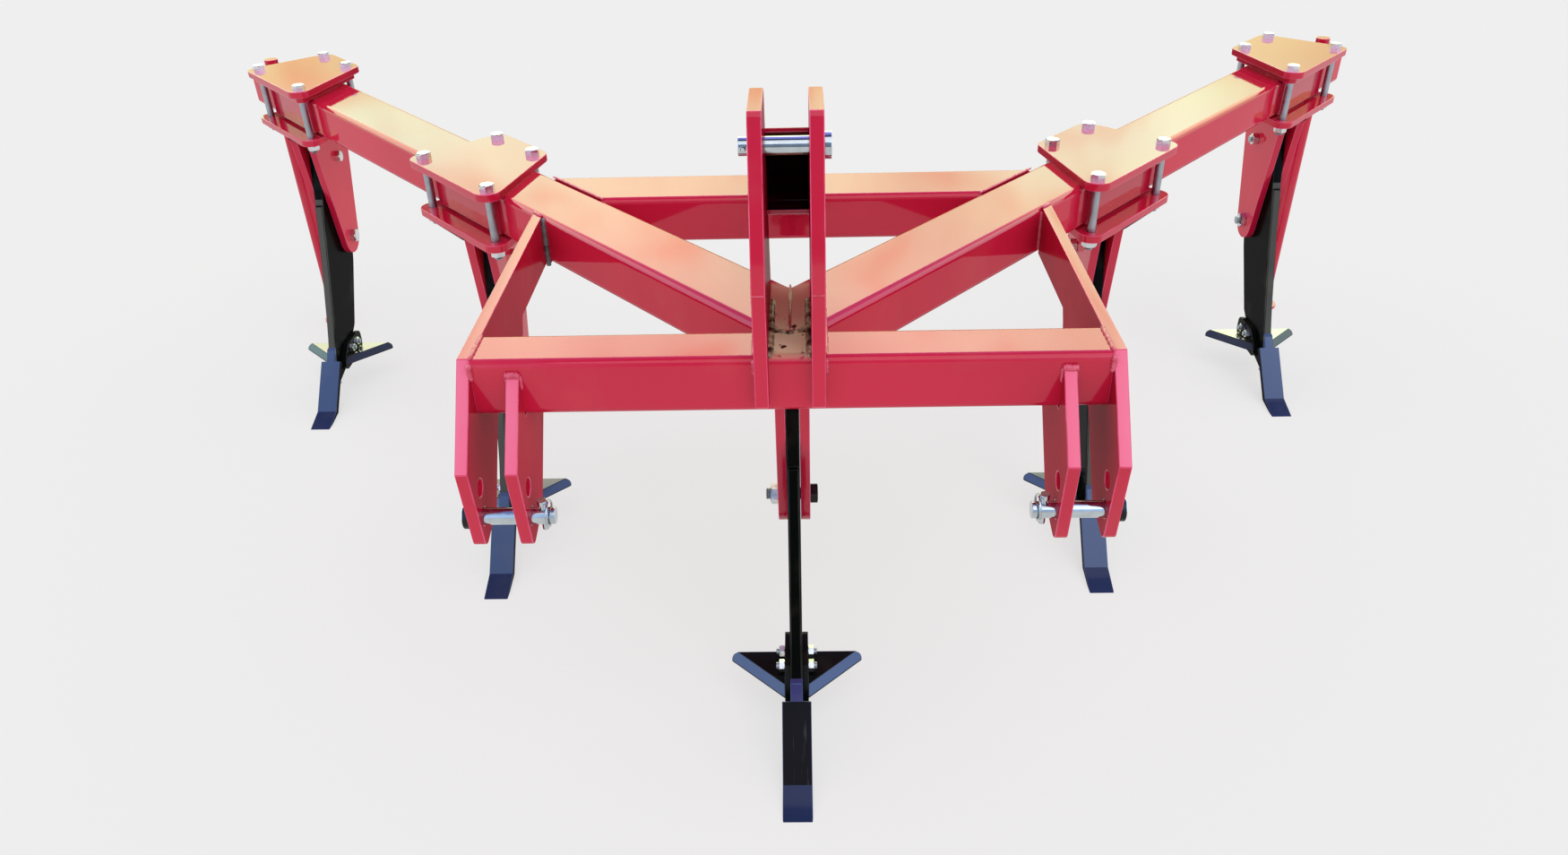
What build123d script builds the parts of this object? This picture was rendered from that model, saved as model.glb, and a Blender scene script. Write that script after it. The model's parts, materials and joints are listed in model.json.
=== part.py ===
from build123d import *
import math
import os

# Five-leg V-frame subsoiler for a three-point linkage.
# Millimetres. X is to the right, Y to the rear (the tractor is at -Y), Z is up from the ground.
# While it is drawn, Y = 0 is the tip of the centre leg. At the end everything is moved so that
# the origin is the middle of the footprint, on the ground.

# Frame
frame_top = 740
tube_width = 125
tube_height = 85
tube_wall = 8
tube_corner = 12
arm_angle = 47.7
apex_y = 307
arm_length = 1985
front_bar_y = 168
front_bar_width = 85
rear_bar_y = 773

# Lower hitch plates
hitch_spacing = 825
hitch_gap = 50
plate = 18
hitch_pin_d = 25
pin_y = 116
pin_z = 521
spare_y = 123
spare_z = 565
pin_clearance = 0.5

# Mast for the top link
mast_gap = 59
mast_nose = 20
mast_plate = 19
mast_height = 1060
mast_seam_share = 0.32
mast_lean = 72
mast_top_length = 111
mast_foot_rear_y = 400
mast_overlap = 72
mast_chamfer = 8
mast_pin_d = 25
mast_pin_y = 262
mast_pin_drop = 58
stay_height = 112
stay_wall = 6
stay_inset = 2
stay_front_y = 305
stay_drop = 48
stay_rear_y = 880
stay_rear_rise = 40

# Legs, measured from the tip of each point
mid_leg_x = 600
outer_leg_inset = 224
leg_reach = 429
shank_thickness = 20
shank_front = [(202, 193), (268, 359), (308, 479), (345, 608)]
shank_rear = [(482, 608), (470, 480), (450, 360), (408, 273), (322, 132)]
shank_heel = [(228, 66), (150, 47), (100, 20)]
shin_width = 16
shin_depth = 8
shin_top_z = 465
pivot_y = 400
pivot_z = 350
pivot_d = 20
shear_y = 422
shear_z = 555
shear_d = 16
bolt_clearance = 0.4
cheek = 16
cheek_play = 1
cheek_end_radius = 45
cheek_front_y = 300
cheek_rear_y = 528
point_width = 48
point_thickness = 14
point_bend = (60, 16)
point_top = (151, 110)
point_land = 22
tongue_rise = 36
tongue_depth = 9
wing_half_span = 113
wing_thickness = 15
wing_bevel = 13
wing_tip = 8
wing_rear_y = 287
wing_root_y = 190
wing_z = 92
wing_bracket = 10
# y, z and corner radius
bracket_outline = [(188, 72, 0), (198, 62, 0), (296, 62, 12), (318, 80, 12),
                   (318, 118, 16), (228, 118, 10), (196, 92, 0)]

# Clamps that hold the legs to the arms
clamp_plate = 15
clamp_margin = 27
clamp_flange = 8
clamp_bolt_offset = 82
clamp_bolt_d = 16
hex_size = 0.93
spacer = 14
# place along the arm, outward from the leg, and the side of the arm
clamp_bolts = [(-160, "front"), (90, "front"), (92, "rear"), (-45, "rear")]
# side of the arm, length along it, and place of its middle
clamp_flanges = [("front", 236, -35), ("rear", 122, 24)]
centre_plate_front = 60
centre_plate_rear = 130

# Parking stands at the arm ends
stand_sleeve = 44
stand_d = 33
stand_foot_d = 70
stand_foot = 8
stand_rise = 12

# Worked out from the sizes above
sin_a = math.sin(math.radians(arm_angle))
cos_a = math.cos(math.radians(arm_angle))
frame_bottom = frame_top - tube_height
front_bar_rear_y = front_bar_y + front_bar_width
hitch_x = hitch_spacing / 2
plate_in_x = hitch_x + hitch_gap / 2
ear_out_x = hitch_x - hitch_gap / 2
cheek_in = shank_thickness / 2 + cheek_play
cheek_out = cheek_in + cheek
clamp_low = frame_bottom - clamp_plate
mast_pin_z = mast_height - mast_pin_drop
mast_seam_z = frame_top + (mast_height - frame_top) * mast_seam_share
mast_out = mast_gap / 2 + mast_plate
stay_front_z = mast_height - stay_drop
outer_leg_x = (arm_length - outer_leg_inset) * cos_a
arm_back_y = apex_y + tube_width / 2 / cos_a

parts = {}


def arm_y(x):
    """Y of the arm's centre line at a place x."""
    return apex_y + x * sin_a / cos_a


def polygon(points, round_at=()):
    """A face through the points, with corners rounded: round_at holds (index, radius)."""
    face = make_face(Polyline(*points, close=True))
    for index, radius in round_at:
        corner = Vector(*points[index])
        vertex = min(face.vertices(), key=lambda v: (Vector(v.X, v.Y, v.Z) - corner).length)
        face = fillet(vertex, radius)
    return face


def side_plate(face, x_from, x_to):
    """Extrude a profile drawn as (y, z) from one x to another."""
    return extrude(Plane.YZ.offset(x_from) * face, x_to - x_from)


def box_between(low, high):
    size = [b - a for a, b in zip(low, high)]
    middle = [(a + b) / 2 for a, b in zip(low, high)]
    return Pos(*middle) * Box(*size)


def tube_face(width, height, wall=0):
    """A rectangular tube's section, or the full section where wall is 0."""
    face = RectangleRounded(width, height, tube_corner)
    if wall:
        face -= RectangleRounded(width - 2 * wall, height - 2 * wall, tube_corner - wall / 2)
    return face


def arm_frame(along, z):
    """A frame on the right arm's centre line: x runs outward along the arm, y to its rear side."""
    return Pos(along * cos_a, apex_y + along * sin_a, z) * Rot(0, 0, arm_angle)


def clamp_frame(leg_x, z):
    return arm_frame(leg_x / cos_a, z)


def x_cylinder(radius, x_from, x_to, y, z):
    rod = Plane.YZ.offset(x_from) * (Pos(y, z) * Circle(radius))
    return extrude(rod, x_to - x_from)


def hexagon(diameter, height):
    """A bolt head or nut on the XY plane for a bolt of the given diameter."""
    return extrude(RegularPolygon(diameter * hex_size, 6), height)


def both_sides(name, right):
    parts[name + "_right"] = right
    parts[name + "_left"] = mirror(right, about=Plane.YZ)


# Arms of the V: hollow tubes, mitred on the centre line and cut off at the front bar
def make_arm():
    start = -200
    length = arm_length - start
    section = Plane(
        origin=(start * cos_a, apex_y + start * sin_a, frame_top - tube_height / 2),
        x_dir=(sin_a, -cos_a, 0),
        z_dir=(cos_a, sin_a, 0),
    )
    tube = extrude(section * tube_face(tube_width, tube_height, tube_wall), length)
    cap = extrude(section.offset(length - tube_wall) * tube_face(tube_width, tube_height), tube_wall)
    arm = tube + cap
    reach = arm_length * 2
    arm -= box_between((-reach, -reach, 0), (0, reach, frame_top * 2))
    arm -= box_between((-reach, -reach, 0), (reach, front_bar_rear_y, frame_top * 2))
    return arm


def arm_outline():
    """The full prism that the right arm fills, to trim what is welded to it."""
    block = Box(arm_length, tube_width, tube_height * 4, align=(Align.MIN, Align.CENTER, Align.CENTER))
    return arm_frame(0, frame_top - tube_height / 2) * block


def make_front_bar():
    section = Plane.YZ * (Pos(front_bar_y + front_bar_width / 2, frame_top - tube_height / 2)
                          * tube_face(front_bar_width, tube_height, tube_wall))
    return extrude(section, plate_in_x, both=True)


def make_rear_bar():
    rear = rear_bar_y + tube_width
    front_x = (rear_bar_y - arm_back_y) * cos_a / sin_a
    rear_x = (rear - arm_back_y) * cos_a / sin_a
    outline = polygon([(-front_x, rear_bar_y), (front_x, rear_bar_y), (rear_x, rear), (-rear_x, rear)])
    prism = extrude(Plane.XY.offset(frame_bottom) * outline, tube_height)
    section = Plane.YZ * (Pos(rear_bar_y + tube_width / 2, frame_top - tube_height / 2)
                          * tube_face(tube_width, tube_height, tube_wall))
    return extrude(section, rear_x, both=True) & prism


# Lower hitch: the outer plate runs back to the arm, the inner ear wraps the front bar
knee = (82, 614)
lug_tip = (100, 474)
lug_heel = (176, 492)
lug_rear = (262, 603)
web_rear_y = 462
web_drop = 26
web_slant = 16
ear_foot = 30


def hitch_holes(x_from, x_to):
    radius = hitch_pin_d / 2 + pin_clearance
    return (x_cylinder(radius, x_from, x_to, pin_y, pin_z)
            + x_cylinder(radius, x_from, x_to, spare_y, spare_z))


def make_outer_plate():
    rear = arm_y(plate_in_x + plate)
    outline = polygon(
        [(front_bar_y + 12, frame_top), knee, lug_tip, lug_heel, lug_rear,
         (web_rear_y, frame_bottom - web_drop), (web_rear_y + web_slant, frame_bottom),
         (rear, frame_bottom), (rear, frame_top)],
        [(2, 14), (3, 25), (4, 40)],
    )
    solid = side_plate(outline, plate_in_x, plate_in_x + plate)
    return solid - arm_outline() - hitch_holes(plate_in_x - 1, plate_in_x + plate + 1)


def make_inner_ear():
    outline = polygon(
        [(front_bar_y, frame_top - 18), (front_bar_y - 4, frame_top - 22), knee, lug_tip, lug_heel,
         lug_rear, (lug_rear[0] + ear_foot, frame_bottom), (front_bar_y, frame_bottom)],
        [(3, 14), (4, 25)],
    )
    solid = side_plate(outline, ear_out_x - plate, ear_out_x)
    return solid - hitch_holes(ear_out_x - plate - 1, ear_out_x + 1)


# Mast: two plates over the apex with a tube stay between them that runs back to the rear bar
def mast_outline():
    """A mast plate from the side: upright over the front bar, then leaning back to the top."""
    nose = front_bar_y - mast_nose
    lean = nose + mast_lean
    return polygon([
        (nose, frame_top - mast_overlap + 6), (nose, mast_seam_z),
        (lean - mast_chamfer, mast_height - mast_chamfer), (lean, mast_height),
        (lean + mast_top_length, mast_height), (mast_foot_rear_y, frame_top),
        (front_bar_y, frame_top), (front_bar_y, frame_top - mast_overlap),
    ], [(4, 12)])


def make_mast_plate():
    radius = mast_pin_d / 2 + pin_clearance
    solid = side_plate(mast_outline(), mast_gap / 2, mast_out)
    return solid - x_cylinder(radius, mast_gap / 2 - 1, mast_out + 1, mast_pin_y, mast_pin_z)


def make_stay():
    """A tube that butts on the mast plates' rear edges and runs down to the rear bar, closed at its end."""
    slope = (stay_front_z - frame_top - stay_rear_rise) / (stay_rear_y - stay_front_y)
    level = math.cos(math.atan(slope))
    drop = stay_height / level
    wall_drop = stay_wall / level

    def band(from_y, to_y, inset):
        """The tube from the side between two places, its top and bottom moved in by the inset."""
        high = [stay_front_z - (y - stay_front_y) * slope - inset for y in (from_y, to_y)]
        low = [stay_front_z - (y - stay_front_y) * slope - drop + inset for y in (from_y, to_y)]
        return polygon([(from_y, high[0]), (to_y, high[1]), (to_y, low[1]), (from_y, low[0])])

    half = mast_out - stay_inset
    tube = side_plate(band(stay_front_y, stay_rear_y, 0), -half, half)
    hollow = band(stay_front_y - 1, stay_rear_y - stay_wall, wall_drop)
    tube -= side_plate(hollow, stay_wall - half, half - stay_wall)
    tube -= side_plate(mast_outline(), mast_gap / 2, mast_out)
    tube -= side_plate(mast_outline(), -mast_out, -mast_gap / 2)
    return tube - box_between((-mast_out, rear_bar_y, 0), (mast_out, rear_bar_y + tube_width, frame_top))


# Hitch pins with a head, and the linch pin with its ring through the other end
pin_head = 10
pin_tail = 34
top_pin_tail = 14
roll_pin_d = 6
roll_pin_length = 31
linch_d = 9
linch_length = 46
ring_radius = 19
ring_wire = 3.5


def hitch_pin(head_x, tail_x, y, z, diameter, tail, cross_pin):
    """A pin along X: the head starts at head_x. The tail ends past tail_x and has a cross pin's hole."""
    way = 1 if tail_x > head_x else -1
    shaft = x_cylinder(diameter / 2, head_x, tail_x + way * tail, y, z)
    head = x_cylinder(diameter * 0.72, head_x - way * pin_head, head_x, y, z)
    hole = Pos(tail_x + way * tail / 2, y, z) * cross_pin
    return shaft + head - hole


def linch_pin(x, way, y, z):
    """The linch pin stands in the hitch pin's cross hole, its ring folded down over the pin's end."""
    rod = Pos(x, y, z) * Cylinder(linch_d / 2, linch_length)
    cap = Pos(x, y, z + linch_length / 2) * Cylinder(linch_d * 0.8, 8)
    ring_x = x + way * (linch_d * 0.8 + ring_wire / 2 - 1)
    wire = Plane.XZ * (Pos(ring_radius, 0) * RegularPolygon(ring_wire * 0.53, 6))
    ring = Pos(ring_x, y, z + linch_length / 2 - ring_radius) * (Rot(0, 90, 0) * revolve(wire, Axis.Z))
    return rod + cap + ring


# Clamps: a top plate with two flanges that hug the arm, and a lower plate with the leg's cheeks
def side_sign(side):
    return 1 if side == "rear" else -1


def clamp_points():
    return [(along, side_sign(side) * clamp_bolt_offset) for along, side in clamp_bolts]


def clamp_outline(margin):
    """The plate's outline in the clamp's frame: the bolt pattern grown by a margin."""
    return offset(make_face(Polyline(*clamp_points(), close=True)), margin)


def clamp_holes(z_from, z_to):
    holes = [Pos(a, b, (z_from + z_to) / 2) * Cylinder(clamp_bolt_d / 2 + bolt_clearance, z_to - z_from + 2)
             for a, b in clamp_points()]
    return holes


def make_clamp_top(leg_x, lift):
    """Top plate and flanges. The plate lies on a spacer of the height lift."""
    top = frame_top + lift + clamp_plate
    solid = Pos(0, 0, frame_top + lift) * extrude(clamp_outline(clamp_margin), clamp_plate)
    for side, length, middle in clamp_flanges:
        wall_y = side_sign(side) * (tube_width / 2 + clamp_flange / 2)
        flange = box_between((-length / 2, -clamp_flange / 2, frame_bottom + 6),
                             (length / 2, clamp_flange / 2, frame_top + lift))
        solid += Pos(middle, wall_y, 0) * flange
    if lift:
        solid += Pos(0, 0, frame_top) * extrude(clamp_outline(clamp_margin - 14), lift)
    for hole in clamp_holes(frame_top, top):
        solid -= hole
    return clamp_frame(leg_x, 0) * solid


def cheek_outline():
    """One cheek's profile from the tip of its leg: wide at the top, round about the pivot bolt."""
    disc = Pos(pivot_y, pivot_z) * Circle(cheek_end_radius)
    top = Line((cheek_front_y, clamp_low), (cheek_rear_y, clamp_low))
    return make_hull(disc.edges() + [top])


def make_cheeks(leg_x, leg_y):
    solids = []
    for side in (-1, 1):
        inner = side * cheek_in
        outer = side * cheek_out
        low, high = min(inner, outer), max(inner, outer)
        solid = side_plate(cheek_outline(), low, high)
        solid -= x_cylinder(pivot_d / 2 + bolt_clearance, low - 1, high + 1, pivot_y, pivot_z)
        solid -= x_cylinder(shear_d / 2 + bolt_clearance, low - 1, high + 1, shear_y, shear_z)
        solids.append(Pos(leg_x, leg_y, 0) * solid)
    return solids


def make_holder(leg_x, leg_y):
    plate_solid = Pos(0, 0, clamp_low) * extrude(clamp_outline(clamp_margin - 2), clamp_plate)
    for hole in clamp_holes(clamp_low, frame_bottom):
        plate_solid -= hole
    holder = clamp_frame(leg_x, 0) * plate_solid
    for solid in make_cheeks(leg_x, leg_y):
        holder += solid
    return holder


def make_centre_holder():
    """The centre leg's cheeks hang from a plate welded under the apex."""
    front, rear = front_bar_rear_y, cheek_rear_y + 10
    outline = polygon([(-centre_plate_front, front), (centre_plate_front, front),
                       (centre_plate_rear, rear), (-centre_plate_rear, rear)], [(2, 20), (3, 20)])
    holder = extrude(Plane.XY.offset(clamp_low) * outline, clamp_plate)
    for solid in make_cheeks(0, 0):
        holder += solid
    return holder


clamp_nut = 14
clamp_head = 11


def make_clamp_bolts(leg_x, lift):
    """Long bolts, head on the top plate and nut under the lower one."""
    top = frame_top + lift + clamp_plate
    bolts = []
    for along, across in clamp_points():
        shaft_low = clamp_low - clamp_nut - 6
        shaft = Pos(0, 0, shaft_low) * extrude(Circle(clamp_bolt_d / 2), top - shaft_low)
        head = Pos(0, 0, top) * hexagon(clamp_bolt_d, clamp_head)
        nut = Pos(0, 0, clamp_low - clamp_nut) * hexagon(clamp_bolt_d, clamp_nut)
        bolts.append(clamp_frame(leg_x, 0) * (Pos(along, across, 0) * (shaft + head + nut)))
    return Compound(children=bolts)


# Legs
def point_back(share):
    """A place on the back of the point's upper leaf: 0 is at the bend and 1 at the top."""
    rise = Vector(*point_top) - Vector(*point_bend)
    inward = rise.normalized().rotate(Axis.Z, -90) * point_thickness
    place = Vector(*point_bend) + rise * share + inward
    return (place.X, place.Y)


def move_back(points, distance):
    """The same line, moved to the rear."""
    return [(y + distance, z) for y, z in points]


def shin_front():
    """The front edge of the leg from the point's top up to the end of the shin."""
    low = shank_front[:-2]
    (y0, z0), (y1, z1) = shank_front[-3:-1]
    share = (shin_top_z - z0) / (z1 - z0)
    return [point_back(1)] + low + [(y0 + share * (y1 - y0), shin_top_z)]


def shank_outline():
    front = move_back(shank_front, shin_depth)
    return polygon([point_back(0.02), point_back(1), *front, *shank_rear, *shank_heel],
                   [(5, 12), (6, 12)])


def make_shank(leg_x, leg_y):
    half = shank_thickness / 2
    solid = side_plate(shank_outline(), -half, half)
    front = shin_front()
    shin = polygon(front + list(reversed(move_back(front, shin_depth + 2))))
    solid += side_plate(shin, -shin_width / 2, shin_width / 2)
    solid -= x_cylinder(pivot_d / 2 + bolt_clearance, -half - 1, half + 1, pivot_y, pivot_z)
    solid -= x_cylinder(shear_d / 2 + bolt_clearance, -half - 1, half + 1, shear_y, shear_z)
    return Pos(leg_x, leg_y, 0) * solid


def point_outline():
    """The bent point seen from the side: its face rises from the tip over the bend to the shank."""
    return polygon([(0, 0), point_bend, point_top, point_back(1), point_back(0), (point_land, 0)])


def make_point(leg_x, leg_y):
    """The point with the narrow tongue that covers the foot of the shin."""
    half = point_width / 2
    base = point_back(1)
    (y1, z1) = shank_front[0]
    share = tongue_rise / (z1 - base[1])
    crown = (base[0] + share * (y1 - base[0]), base[1] + tongue_rise)
    tongue = polygon([point_top, base, crown, (crown[0] - tongue_depth, crown[1] - tongue_depth / 3)])
    solid = side_plate(point_outline(), -half, half)
    solid += side_plate(tongue, -shank_thickness / 2, shank_thickness / 2)
    return Pos(leg_x, leg_y, 0) * solid


def make_wing(half):
    """The right wing: a triangular blade with a ground front edge, on a bracket that lies on the shank."""
    root = half + wing_bracket
    start, end = Vector(root, wing_root_y), Vector(wing_half_span, wing_rear_y - wing_tip)
    blade = polygon([(root, wing_root_y), (end.X, end.Y), (wing_half_span, wing_rear_y), (root, wing_rear_y)],
                    [(1, wing_tip * 0.6), (2, wing_tip * 0.6)])
    solid = extrude(Plane.XY.offset(wing_z - wing_thickness) * blade, wing_thickness)
    along = (end - start).normalized()
    outward = (along.Y, -along.X, 0)
    grind = Plane(origin=(start.X, start.Y, wing_z), x_dir=outward, z_dir=(along.X, along.Y, 0))
    corner = grind * make_face(Polyline((-wing_bevel - 1, -1), (1, wing_bevel + 1), (1, -1), close=True))
    solid -= extrude(corner, (end - start).length + wing_tip, both=True)
    corners = [(y, z) for y, z, radius in bracket_outline]
    rounds = [(index, row[2]) for index, row in enumerate(bracket_outline) if row[2]]
    return solid + side_plate(polygon(corners, rounds), half, root)


def make_wings(leg_x, leg_y):
    right = make_wing(shank_thickness / 2)
    wings = [Pos(leg_x, leg_y, 0) * right, Pos(leg_x, leg_y, 0) * mirror(right, about=Plane.YZ)]
    return Compound(children=wings)


pivot_head = 13


def x_hex(diameter, x_from, x_to, y, z):
    face = Plane.YZ.offset(x_from) * (Pos(y, z) * RegularPolygon(diameter * hex_size, 6))
    return extrude(face, x_to - x_from)


def make_leg_bolts(leg_x, leg_y):
    """The pivot bolt, and the two outer thirds of the shear bolt, which parts at the shank's faces."""
    out = cheek_out
    pivot = x_cylinder(pivot_d / 2, -out - pivot_head - 8, out + pivot_head, pivot_y, pivot_z)
    pivot += x_hex(pivot_d, out, out + pivot_head, pivot_y, pivot_z)
    pivot += x_hex(pivot_d, -out - pivot_head, -out, pivot_y, pivot_z)
    head_end = x_cylinder(shear_d / 2, cheek_in, out + clamp_head, shear_y, shear_z)
    head_end += x_hex(shear_d, out, out + clamp_head, shear_y, shear_z)
    nut_end = x_cylinder(shear_d / 2, -out - clamp_nut - 6, -cheek_in, shear_y, shear_z)
    nut_end += x_hex(shear_d, -out - clamp_nut, -out, shear_y, shear_z)
    return Compound(children=[Pos(leg_x, leg_y, 0) * s for s in (pivot, head_end, nut_end)])


def make_shear_core(leg_x, leg_y):
    half = shank_thickness / 2
    return Pos(leg_x, leg_y, 0) * x_cylinder(shear_d / 2, -half, half, shear_y, shear_z)


# Parking stands
def make_stand():
    along = arm_length + stand_sleeve / 2
    post = extrude(Circle(stand_d / 2), frame_top + stand_rise)
    foot = extrude(Circle(stand_foot_d / 2), stand_foot)
    return arm_frame(along, 0) * (post + foot)


def make_stand_sleeve():
    along = arm_length + stand_sleeve / 2
    ring = RectangleRounded(stand_sleeve, stand_sleeve, 5) - Circle(stand_d / 2 + 0.3)
    return arm_frame(along, 0) * (Pos(0, 0, frame_bottom - 10) * extrude(ring, tube_height + 4))


both_sides("arm", make_arm())
parts["front_bar"] = make_front_bar()
parts["rear_bar"] = make_rear_bar()
both_sides("hitch_plate", make_outer_plate())
both_sides("hitch_ear", make_inner_ear())
both_sides("mast_plate", make_mast_plate())
parts["mast_stay"] = make_stay()

roll_hole = Rot(90, 0, 0) * Cylinder(roll_pin_d / 2 + 0.1, mast_pin_d * 2)
roll_pin = Rot(90, 0, 0) * Cylinder(roll_pin_d / 2, roll_pin_length)
parts["top_link_pin"] = hitch_pin(mast_out, -mast_out, mast_pin_y, mast_pin_z, mast_pin_d,
                                  top_pin_tail, roll_hole)
parts["top_linch_pin"] = Pos(-mast_out - top_pin_tail / 2, mast_pin_y, mast_pin_z) * roll_pin
linch_hole = Cylinder(linch_d / 2 + 0.2, hitch_pin_d * 2)
both_sides("lower_pin", hitch_pin(plate_in_x + plate, ear_out_x - plate, pin_y, pin_z, hitch_pin_d,
                                  pin_tail, linch_hole))
both_sides("lower_linch_pin", linch_pin(ear_out_x - plate - pin_tail / 2, -1, pin_y, pin_z))

# name, place of the leg's tip in X and Y, height of the spacer under the clamp's top plate
legs = [("mid", mid_leg_x, arm_y(mid_leg_x) - leg_reach, 0),
        ("outer", outer_leg_x, arm_y(outer_leg_x) - leg_reach, spacer)]
for name, leg_x, leg_y, lift in legs:
    both_sides("clamp_top_" + name, make_clamp_top(leg_x, lift))
    both_sides("clamp_bolts_" + name, make_clamp_bolts(leg_x, lift))
    both_sides("leg_holder_" + name, make_holder(leg_x, leg_y))
parts["leg_holder_centre"] = make_centre_holder()

all_legs = [("centre", 0, 0)]
for name, leg_x, leg_y, lift in legs:
    all_legs += [(name + "_right", leg_x, leg_y), (name + "_left", -leg_x, leg_y)]
for name, leg_x, leg_y in all_legs:
    parts["shank_" + name] = make_shank(leg_x, leg_y)
    parts["point_" + name] = make_point(leg_x, leg_y)
    parts["wings_" + name] = make_wings(leg_x, leg_y)
    parts["leg_bolts_" + name] = make_leg_bolts(leg_x, leg_y)
    parts["shear_core_" + name] = make_shear_core(leg_x, leg_y)

both_sides("stand", make_stand())
both_sides("stand_sleeve", make_stand_sleeve())

# Put the origin in the middle of the footprint
boxes = [shape.bounding_box() for shape in parts.values()]
middle_y = (min(b.min.Y for b in boxes) + max(b.max.Y for b in boxes)) / 2
os.makedirs("parts", exist_ok=True)
for name, shape in parts.items():
    export_step(Pos(0, -middle_y, 0) * shape, "parts/" + name + ".step")
print("middle of the footprint in Y:", round(middle_y, 3))
print(len(parts), "parts")
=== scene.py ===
import json
import math
import random

import bmesh
import bpy
from mathutils import Matrix, Vector

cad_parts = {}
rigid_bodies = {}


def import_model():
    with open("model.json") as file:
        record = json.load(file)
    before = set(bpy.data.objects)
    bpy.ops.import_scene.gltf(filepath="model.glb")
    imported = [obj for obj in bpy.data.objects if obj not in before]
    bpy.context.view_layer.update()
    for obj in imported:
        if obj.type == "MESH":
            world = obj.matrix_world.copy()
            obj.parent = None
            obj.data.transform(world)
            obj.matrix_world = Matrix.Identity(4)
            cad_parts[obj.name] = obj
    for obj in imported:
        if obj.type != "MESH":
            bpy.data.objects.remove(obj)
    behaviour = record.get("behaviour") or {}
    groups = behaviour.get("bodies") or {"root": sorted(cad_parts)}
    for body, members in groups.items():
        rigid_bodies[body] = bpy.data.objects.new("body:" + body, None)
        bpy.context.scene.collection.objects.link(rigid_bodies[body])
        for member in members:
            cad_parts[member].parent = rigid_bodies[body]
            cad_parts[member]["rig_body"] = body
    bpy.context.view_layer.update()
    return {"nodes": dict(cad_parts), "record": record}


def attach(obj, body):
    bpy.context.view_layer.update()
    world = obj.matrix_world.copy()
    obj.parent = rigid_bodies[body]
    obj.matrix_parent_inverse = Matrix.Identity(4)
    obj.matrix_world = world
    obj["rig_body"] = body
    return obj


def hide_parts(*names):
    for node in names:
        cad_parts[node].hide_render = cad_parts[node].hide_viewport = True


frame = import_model()
random.seed(11)
MM = 0.001
SIDES = ((-1, "left"), (1, "right"))


# Node trees

class Nodes:
    """Short ways to add nodes to a tree. An input takes a value or another node's output."""

    def __init__(self, tree, coordinates):
        self.tree = tree
        self.place = self.add("ShaderNodeTexCoord").outputs[coordinates]

    def add(self, kind, inputs=None, **settings):
        node = self.tree.nodes.new(kind)
        for key, value in settings.items():
            setattr(node, key, value)
        for key, value in (inputs or {}).items():
            if isinstance(value, bpy.types.NodeSocket):
                self.tree.links.new(value, node.inputs[key])
            else:
                node.inputs[key].default_value = value
        return node

    def parts(self):
        """X, Y and Z of the place that is shaded."""
        return self.add("ShaderNodeSeparateXYZ", {0: self.place}).outputs

    def noise(self, scale, detail=3.0, stretch=(1, 1, 1), distortion=0.0):
        """Noise over the place: scale counts features in a unit of length."""
        place = self.add("ShaderNodeMapping", {"Vector": self.place, "Scale": stretch}).outputs[0]
        inputs = {"Vector": place, "Scale": scale, "Detail": detail, "Distortion": distortion}
        return self.add("ShaderNodeTexNoise", inputs).outputs["Fac"]

    def span(self, value, low, high, to_low=0.0, to_high=1.0):
        """Stretch a range of a value over another range, clamped."""
        inputs = {"Value": value, "From Min": low, "From Max": high, "To Min": to_low, "To Max": to_high}
        return self.add("ShaderNodeMapRange", inputs).outputs[0]

    def calculate(self, operation, *values):
        return self.add("ShaderNodeMath", dict(enumerate(values)), operation=operation).outputs[0]

    def times(self, a, b):
        return self.calculate("MULTIPLY", a, b)

    def mix(self, factor, a, b):
        """Colour a where factor is 0 and b where it is 1."""
        a, b = [(*color, 1) if isinstance(color, tuple) else color for color in (a, b)]
        return self.add("ShaderNodeMix", {0: factor, 6: a, 7: b}, data_type="RGBA").outputs[2]

    def tint(self, color, factors):
        """A colour with its red, green and blue multiplied by three factors."""
        return self.add("ShaderNodeVectorMath", {0: color, 1: factors}, operation="MULTIPLY").outputs[0]

    def scale(self, color, factor):
        return self.add("ShaderNodeVectorMath", {0: color, "Scale": factor}, operation="SCALE").outputs[0]

    def ramp(self, value, stops):
        """A colour that follows the stops, each a value and its colour."""
        node = self.add("ShaderNodeValToRGB", {0: value})
        elements = node.color_ramp.elements
        ends = (stops[0], stops[-1])
        for element, (position, color) in zip(elements, ends):
            element.position = position
            element.color = (*color, 1)
        for position, color in stops[1:-1]:
            elements.new(position).color = (*color, 1)
        return node.outputs[0]


class Graph(Nodes):
    """A new material's node tree with its Principled shader."""

    def __init__(self, name, color, roughness, metallic=0.0):
        self.material = bpy.data.materials.new(name)
        self.material.use_nodes = True
        super().__init__(self.material.node_tree, "Object")
        self.shader = self.tree.nodes["Principled BSDF"]
        self.set("Base Color", (*color, 1))
        self.set("Roughness", roughness)
        self.set("Metallic", metallic)

    def set(self, socket, value):
        self.shader.inputs[socket].default_value = value

    def link(self, output, socket):
        self.tree.links.new(output, self.shader.inputs[socket])

    def bump(self, *layers):
        """Bump from layers of (height socket, depth in metres)."""
        normal = None
        for height, depth in layers:
            inputs = {"Height": height, "Distance": depth, "Strength": 1.0}
            if normal:
                inputs["Normal"] = normal
            normal = self.add("ShaderNodeBump", inputs).outputs[0]
        self.link(normal, "Normal")

    def edge(self):
        """1 on the rounded edges that dress() marks, 0 elsewhere."""
        return self.add("ShaderNodeAttribute", attribute_name="edge").outputs["Fac"]


# Materials

WAVES = 0.0010
ORANGE_PEEL = 0.00002
DUST = (0.45, 0.40, 0.34)
SCRATCH = (0.045, 0.045, 0.055)


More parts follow.
